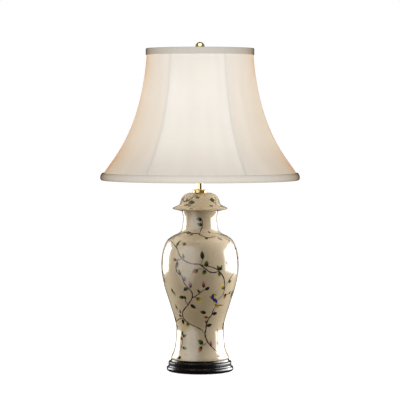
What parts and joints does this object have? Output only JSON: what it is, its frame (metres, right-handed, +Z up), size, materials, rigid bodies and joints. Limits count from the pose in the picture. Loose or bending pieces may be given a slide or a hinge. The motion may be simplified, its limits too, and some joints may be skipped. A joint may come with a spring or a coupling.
{
  "type": "table lamp",
  "caption": "Table lamp: porcelain temple jar with lid on a turned wooden base, brass neck, bulb in a harp, and a paneled bell shade held by a ball finial.",
  "frame": {"origin": "centre of the base's underside, on the table", "axes": "+Z up; the lamp's front faces -Y and the harp's loop lies in the XZ plane"},
  "size_m": [0.4606, 0.4602, 0.762],
  "materials": {
    "felt": "matte",
    "lacquered_wood": "gloss",
    "black_plastic": "satin",
    "zinc_steel": "satin",
    "porcelain_glaze": "gloss",
    "polished_brass": "polished",
    "fibre_board": "matte",
    "plain_aluminium": "satin",
    "frosted_glass": "satin",
    "clear_glass": "polished",
    "tungsten": "satin",
    "silk": "satin",
    "lining_fabric": "satin",
    "trim_fabric": "matte"
  },
  "bodies": {
    "base": {"felt_pad": "felt", "wood_base": "lacquered_wood", "cord_bushing": "black_plastic", "base_washer": "zinc_steel", "base_nut": "zinc_steel", "jar": "porcelain_glaze", "jar_lid": "porcelain_glaze", "threaded_pipe": "zinc_steel", "check_ring": "polished_brass", "neck_tube": "polished_brass", "harp_saddle": "polished_brass", "socket_cap": "polished_brass", "socket_shell": "polished_brass", "insulating_sleeve": "fibre_board", "socket_body": "black_plastic", "socket_screw_shell": "plain_aluminium", "socket_contact": "polished_brass", "terminal_screw_left": "polished_brass", "terminal_screw_right": "polished_brass"},
    "switch": {"switch_shaft": "polished_brass", "switch_knob": "black_plastic"},
    "bulb": {"bulb_contact": "plain_aluminium", "bulb_insulator": "black_plastic", "bulb_screw_base": "plain_aluminium", "bulb_glass": "frosted_glass", "bulb_stem": "clear_glass", "bulb_filament": "tungsten"},
    "harp": {"harp": "polished_brass"},
    "left_sleeve": {"harp_sleeve_left": "polished_brass"},
    "right_sleeve": {"harp_sleeve_right": "polished_brass"},
    "stud": {"harp_stud": "polished_brass"},
    "shade": {"shade_spider": "polished_brass", "shade_top_ring": "zinc_steel", "shade_bottom_ring": "zinc_steel", "shade_rib_1": "zinc_steel", "shade_rib_2": "zinc_steel", "shade_rib_3": "zinc_steel", "shade_rib_4": "zinc_steel", "shade_rib_5": "zinc_steel", "shade_rib_6": "zinc_steel", "shade_cover": "silk", "shade_lining": "lining_fabric", "shade_top_trim": "trim_fabric", "shade_bottom_trim": "trim_fabric"},
    "finial": {"finial_base": "polished_brass", "finial_ball": "polished_brass"}
  },
  "joints": [
    {"name": "switch_turn", "type": "hinge", "parent": "base", "child": "switch", "pos_m": [0, -0.027, 0.4755], "axis": [0, -1, 0], "continuous": true},
    {"name": "bulb_lift", "type": "slide", "parent": "base", "child": "bulb", "axis": [0, 0, 1], "range_m": [0, 0.06]},
    {"name": "harp_lift", "type": "slide", "parent": "base", "child": "harp", "axis": [0, 0, 1], "range_m": [0, 0.03]},
    {"name": "left_sleeve_slide", "type": "slide", "parent": "harp", "child": "left_sleeve", "axis": [0, 0, 1], "range_m": [0, 0.012]},
    {"name": "right_sleeve_slide", "type": "slide", "parent": "harp", "child": "right_sleeve", "axis": [0, 0, 1], "range_m": [0, 0.012]},
    {"name": "shade_turn", "type": "hinge", "parent": "harp", "child": "stud", "pos_m": [0, 0, 0.73], "axis": [0, 0, 1], "continuous": true},
    {"name": "shade_lift", "type": "slide", "parent": "stud", "child": "shade", "axis": [0, 0, 1], "range_m": [0, 0.3]},
    {"name": "finial_lift", "type": "slide", "parent": "shade", "child": "finial", "axis": [0, 0, 1], "range_m": [0, 0.03]}
  ]
}
